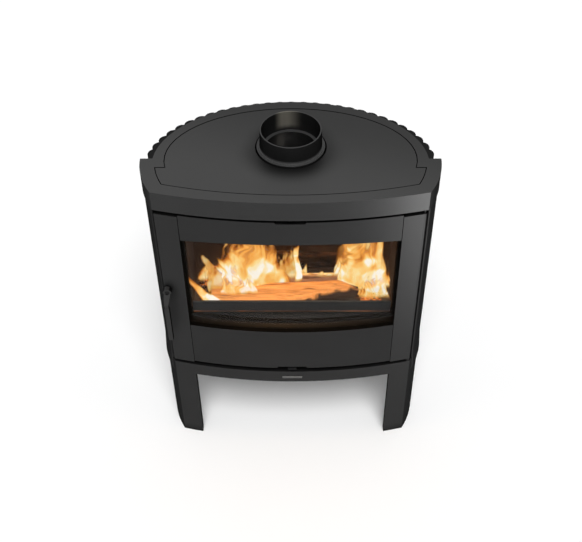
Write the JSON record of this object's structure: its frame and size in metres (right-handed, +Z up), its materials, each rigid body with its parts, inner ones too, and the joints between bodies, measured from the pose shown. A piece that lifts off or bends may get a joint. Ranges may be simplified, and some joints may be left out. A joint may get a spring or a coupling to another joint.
{
  "type": "freestanding wood stove",
  "caption": "Freestanding cast-iron wood stove with a bowed glass door, fluted half-round back, inlaid flat top and flue collar, raised on legs.",
  "frame": {"origin": "middle of the footprint's bounding box on the floor", "axes": "+Z up, -Y out of the glass door, +X to the right of someone facing the door"},
  "size_m": [0.7262, 0.4098, 0.9725],
  "materials": {
    "cast_iron_top": "matt heat-proof grey paint on a fine-grained casting",
    "cast_iron_body": "matt heat-proof grey paint on a fine-grained casting",
    "collar_paint": "satin black heat-proof paint",
    "bare_steel": "plain turned or stamped steel",
    "sheet_steel": "black heat-proof paint on sheet steel, sooted inside the firebox",
    "firebrick": "pressed insulating firebrick, sooted",
    "rope_seal": "braided glass-fibre rope",
    "stove_glass": "clear heat-proof glass-ceramic, faintly brown",
    "split_wood": "split log, scorched and lit by the flames",
    "charred_wood": "charred log with grey ash"
  },
  "bodies": {
    "root": {"top_frame": "cast_iron_top", "top_plate": "cast_iron_top", "flue_collar": "collar_paint", "back_shell": "cast_iron_body", "side_panel_right": "cast_iron_body", "side_panel_left": "cast_iron_body", "front_portal": "cast_iron_body", "rear_leg_right": "cast_iron_body", "rear_leg_left": "cast_iron_body", "base_plate": "cast_iron_body", "apron_plaque": "bare_steel", "firebox_stand_right": "sheet_steel", "firebox_stand_left": "sheet_steel", "firebox_shell": "sheet_steel", "ash_box": "sheet_steel", "firebox_top": "sheet_steel", "firebox_front": "sheet_steel", "hearth_sill": "cast_iron_body", "hearth_brick": "firebrick", "grate": "cast_iron_body", "brick_right": "firebrick", "brick_left": "firebrick", "brick_corner_right": "firebrick", "brick_corner_left": "firebrick", "brick_back": "firebrick", "baffle": "firebrick", "log_retainer": "cast_iron_body", "log_front": "split_wood", "log_middle": "charred_wood", "log_back": "charred_wood", "ash_pan": "sheet_steel", "ash_pan_pull": "bare_steel", "hinge_pin_top": "bare_steel", "hinge_pin_bottom": "bare_steel", "hinge_spacer": "bare_steel", "latch_keeper": "bare_steel", "slide_guide_top": "sheet_steel", "slide_guide_bottom": "sheet_steel"},
    "door": {"door_stile_left": "cast_iron_body", "door_stile_right": "cast_iron_body", "door_rail_top": "cast_iron_body", "door_rail_bottom": "cast_iron_body", "door_inner_frame": "cast_iron_body", "door_glass": "stove_glass", "glass_gasket": "rope_seal", "door_rope_seal": "rope_seal", "handle_bush": "bare_steel", "frame_screw_1": "bare_steel", "frame_screw_2": "bare_steel", "frame_screw_3": "bare_steel", "frame_screw_4": "bare_steel"},
    "handle": {"handle_spindle": "bare_steel", "handle_lever": "cast_iron_body", "handle_grip": "collar_paint", "latch_cam": "bare_steel", "cam_nut": "bare_steel"},
    "air_slide_upper": {"air_slide_top": "sheet_steel"},
    "air_slide_lower": {"air_slide_bottom": "sheet_steel"}
  },
  "joints": [
    {"name": "door_hinge", "type": "hinge", "parent": "root", "child": "door", "pos_m": [0.3175, -0.15773, 0.588], "axis": [0, 0, 1], "range_deg": [0, 110]},
    {"name": "handle_turn", "type": "hinge", "parent": "door", "child": "handle", "pos_m": [-0.315, -0.17, 0.602], "axis": [0, 1, 0], "range_deg": [0, 80]},
    {"name": "upper_air_slide", "type": "slide", "parent": "root", "child": "air_slide_upper", "axis": [1, 0, 0], "range_m": [-0.025, 0.025]},
    {"name": "lower_air_slide", "type": "slide", "parent": "root", "child": "air_slide_lower", "axis": [1, 0, 0], "range_m": [-0.025, 0.025]}
  ]
}
